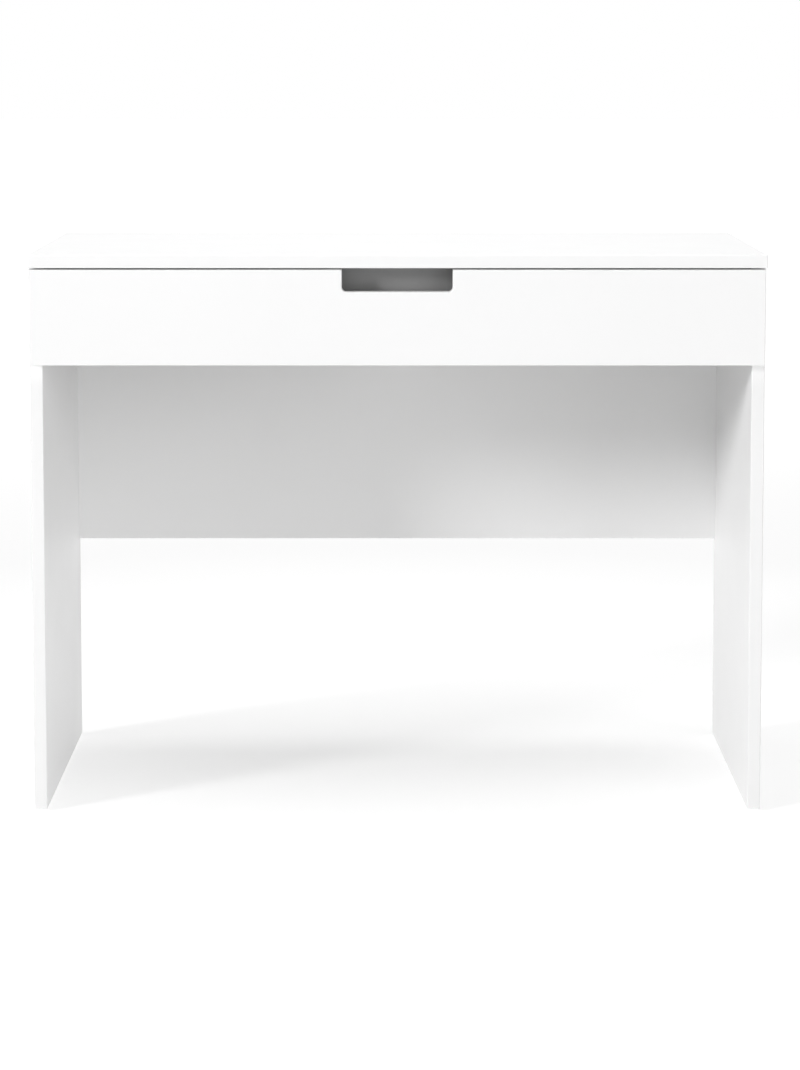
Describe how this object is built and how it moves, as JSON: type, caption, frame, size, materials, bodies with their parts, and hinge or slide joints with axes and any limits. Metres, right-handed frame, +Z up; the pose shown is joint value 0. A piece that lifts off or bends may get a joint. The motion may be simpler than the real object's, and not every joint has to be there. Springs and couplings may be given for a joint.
{
  "type": "writing desk",
  "caption": "White panel writing desk: flat top, full-depth side panels, back panel and a full-width overlay drawer on roller runners with a finger cut-out in its front.",
  "frame": {"origin": "centre of the desk's footprint on the floor", "axes": "+X to the sitter's right, -Y towards the sitter, +Z up"},
  "size_m": [1, 0.5, 0.77],
  "materials": {
    "panel_board": "satin white melamine on chipboard",
    "edge_band": "white ABS edge band, fine satin",
    "front_lacquer": "white satin lacquer on fibreboard",
    "rail_grey": "dark grey powder coat",
    "runner_white": "white epoxy coat",
    "zinc": "die-cast zinc",
    "screw_steel": "zinc-plated steel",
    "roller_nylon": "off-white nylon",
    "cap_plastic": "white moulded plastic",
    "glide_plastic": "white moulded plastic",
    "beech": "fluted beech",
    "box_board": "white foil on chipboard",
    "hardboard": "thin fibreboard, white upper face",
    "soft_bumper": "soft clear polyurethane"
  },
  "bodies": {
    "carcass": {"tabletop": "panel_board", "tabletop_edging": "edge_band", "side_panel_left": "panel_board", "side_panel_left_edging": "edge_band", "side_panel_right": "panel_board", "side_panel_right_edging": "edge_band", "back_panel": "panel_board", "back_panel_edging": "edge_band", "tabletop_cams": "zinc", "tabletop_cam_bolts": "screw_steel", "tabletop_cam_caps": "cap_plastic", "back_panel_cams": "zinc", "back_panel_cam_bolts": "screw_steel", "back_panel_cam_caps": "cap_plastic", "carcass_dowels": "beech", "floor_glides": "glide_plastic", "front_rail": "rail_grey", "front_rail_screws": "screw_steel", "runner_channel_left": "runner_white", "runner_channel_right": "runner_white", "runner_channel_screws": "screw_steel", "front_roller_pins": "screw_steel"},
    "drawer": {"drawer_front": "front_lacquer", "drawer_side_left": "box_board", "drawer_side_right": "box_board", "drawer_back": "box_board", "drawer_bottom": "hardboard", "drawer_brace": "box_board", "drawer_profile_left": "runner_white", "drawer_profile_right": "runner_white", "drawer_profile_screws": "screw_steel", "rear_roller_pins": "screw_steel", "drawer_cams": "zinc", "drawer_cam_bolts": "screw_steel", "drawer_cam_caps": "cap_plastic", "drawer_dowels": "beech", "drawer_back_screws": "screw_steel", "drawer_bottom_screws": "screw_steel", "drawer_brace_screw": "screw_steel", "drawer_bumpers": "soft_bumper"},
    "front_roller_left": {"front_roller_left": "roller_nylon"},
    "front_roller_right": {"front_roller_right": "roller_nylon"},
    "rear_roller_left": {"rear_roller_left": "roller_nylon"},
    "rear_roller_right": {"rear_roller_right": "roller_nylon"}
  },
  "joints": [
    {"name": "drawer_slide", "type": "slide", "parent": "carcass", "child": "drawer", "axis": [0, -1, 0], "range_m": [0, 0.345]},
    {"name": "front_roller_left_spin", "type": "hinge", "parent": "carcass", "child": "front_roller_left", "pos_m": [-0.477, -0.216, 0.6485], "axis": [1, 0, 0], "continuous": true},
    {"name": "front_roller_right_spin", "type": "hinge", "parent": "carcass", "child": "front_roller_right", "pos_m": [0.477, -0.216, 0.6485], "axis": [1, 0, 0], "continuous": true},
    {"name": "rear_roller_left_spin", "type": "hinge", "parent": "drawer", "child": "rear_roller_left", "pos_m": [-0.4745, 0.212, 0.6475], "axis": [1, 0, 0], "continuous": true},
    {"name": "rear_roller_right_spin", "type": "hinge", "parent": "drawer", "child": "rear_roller_right", "pos_m": [0.4745, 0.212, 0.6475], "axis": [1, 0, 0], "continuous": true}
  ],
  "couplings": [
    {"joint": "front_roller_left_spin", "follows": "drawer_slide", "rad_per_m": 108.7},
    {"joint": "front_roller_right_spin", "follows": "drawer_slide", "rad_per_m": 108.7},
    {"joint": "rear_roller_left_spin", "follows": "drawer_slide", "rad_per_m": 121.95},
    {"joint": "rear_roller_right_spin", "follows": "drawer_slide", "rad_per_m": 121.95}
  ]
}
